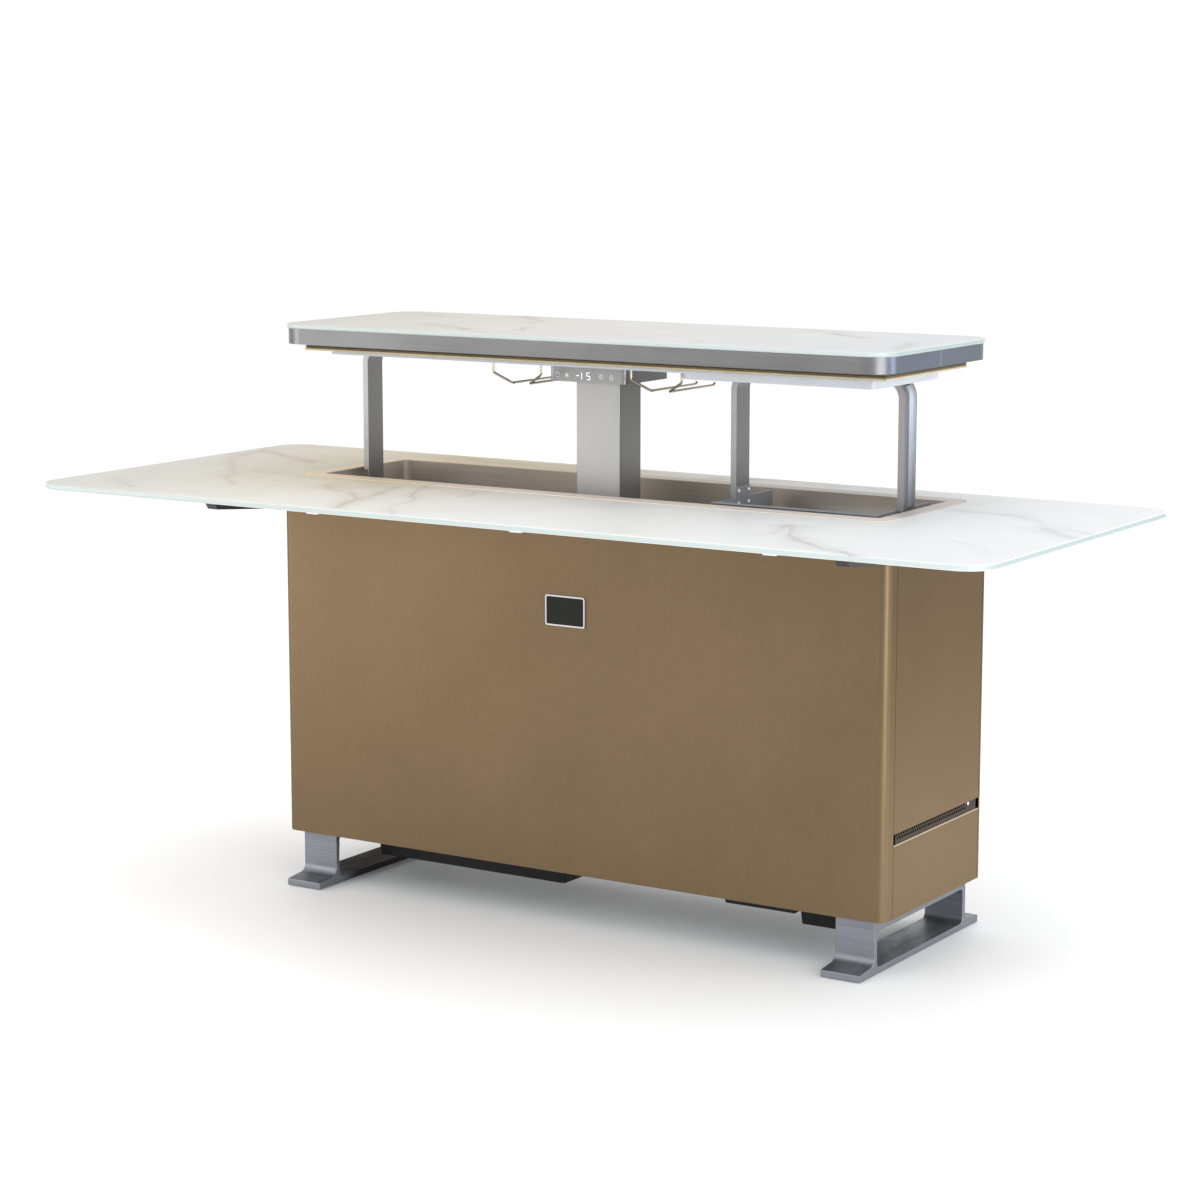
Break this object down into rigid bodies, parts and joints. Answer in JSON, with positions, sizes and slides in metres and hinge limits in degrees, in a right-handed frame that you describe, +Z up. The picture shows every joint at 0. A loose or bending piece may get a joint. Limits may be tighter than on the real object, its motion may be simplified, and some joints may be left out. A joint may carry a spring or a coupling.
{
  "type": "refrigerated dining table with lifting centre lid",
  "caption": "Marble-look glass dining table on a cabinet with a sunken cold tank, whose lid rises on a central column with hanging trays and stemware racks.",
  "frame": {"origin": "on the floor under the middle of the table top", "axes": "+X along the table to the right of someone seated at the overhanging side, +Y from that side towards the cabinet, +Z up"},
  "size_m": [1.848, 0.746, 1.025],
  "materials": {
    "white_glass": "gloss",
    "champagne_trim": "satin",
    "champagne_panel": "satin",
    "vent_steel": "satin",
    "frame_steel": "satin",
    "base_steel": "matte",
    "foot_alloy": "satin",
    "pad_rubber": "matte",
    "clear_pad": "satin",
    "zinc": "satin",
    "bezel_chrome": "polished",
    "black_gloss": "gloss",
    "tank_steel": "satin",
    "foam": "matte",
    "cooling_alloy": "satin",
    "machine_black": "satin",
    "black_plastic": "matte",
    "copper": "satin",
    "column_steel": "satin",
    "glide_plastic": "matte",
    "screw_steel": "polished",
    "head_steel": "satin",
    "board_green": "matte",
    "rim_steel": "satin",
    "liner_white": "satin",
    "gasket_gold": "satin",
    "gasket_dark": "matte",
    "strap_steel": "satin",
    "rack_chrome": "polished"
  },
  "bodies": {
    "base": {"table_top": "white_glass", "opening_trim": "champagne_trim", "front_panel": "champagne_panel", "rear_panel": "champagne_panel", "side_panel_left": "champagne_panel", "side_panel_right": "champagne_panel", "lower_panel_left": "champagne_panel", "lower_panel_right": "champagne_panel", "vent_grille_left": "vent_steel", "vent_grille_right": "vent_steel", "support_frame": "frame_steel", "base_plate": "base_steel", "foot_left": "foot_alloy", "foot_right": "foot_alloy", "foot_pads": "pad_rubber", "compressor_mounts": "pad_rubber", "column_wiper": "pad_rubber", "column_seal": "pad_rubber", "top_pads": "clear_pad", "mounting_bolts": "zinc", "bearing_plate": "zinc", "badge_bezel": "bezel_chrome", "badge_plate": "black_gloss", "tank": "tank_steel", "insulation": "foam", "evaporator_plates": "cooling_alloy", "condenser": "cooling_alloy", "compressor": "machine_black", "lift_motor": "machine_black", "fan_motor": "machine_black", "compressor_tub": "black_plastic", "power_box": "black_plastic", "power_inlet": "black_plastic", "fan_shroud": "black_plastic", "refrigerant_pipes": "copper", "column_outer": "column_steel", "outer_glides": "glide_plastic"},
    "lift": {"column_inner": "column_steel", "inner_glides": "glide_plastic", "lift_nut": "glide_plastic", "control_head": "head_steel", "control_board": "board_green", "lid_glass": "white_glass", "lid_rim": "rim_steel", "lid_core": "foam", "lid_liner": "liner_white", "lid_gasket": "gasket_gold", "gasket_carrier": "gasket_dark", "strap_left": "strap_steel", "strap_middle": "strap_steel", "strap_right": "strap_steel", "tray_frame": "strap_steel", "tray_pan": "strap_steel", "shelf_left": "strap_steel", "tray_screws": "zinc", "glass_rack_left": "rack_chrome", "glass_rack_right": "rack_chrome"},
    "lift_screw": {"spindle": "screw_steel"},
    "fan": {"fan_rotor": "black_plastic"}
  },
  "joints": [
    {"name": "lid_lift", "type": "slide", "parent": "base", "child": "lift", "axis": [0, 0, 1], "range_m": [-0.2235, 0]},
    {"name": "screw_turn", "type": "hinge", "parent": "base", "child": "lift_screw", "pos_m": [-0.0325, 0.129, 0.46], "axis": [0, 0, 1], "range_deg": [-20, 5060]},
    {"name": "fan_spin", "type": "hinge", "parent": "base", "child": "fan", "pos_m": [0.5085, 0.129, 0.182], "axis": [1, 0, 0], "continuous": true}
  ],
  "couplings": [
    {"joint": "screw_turn", "follows": "lid_lift", "rad_per_m": -392.7}
  ]
}
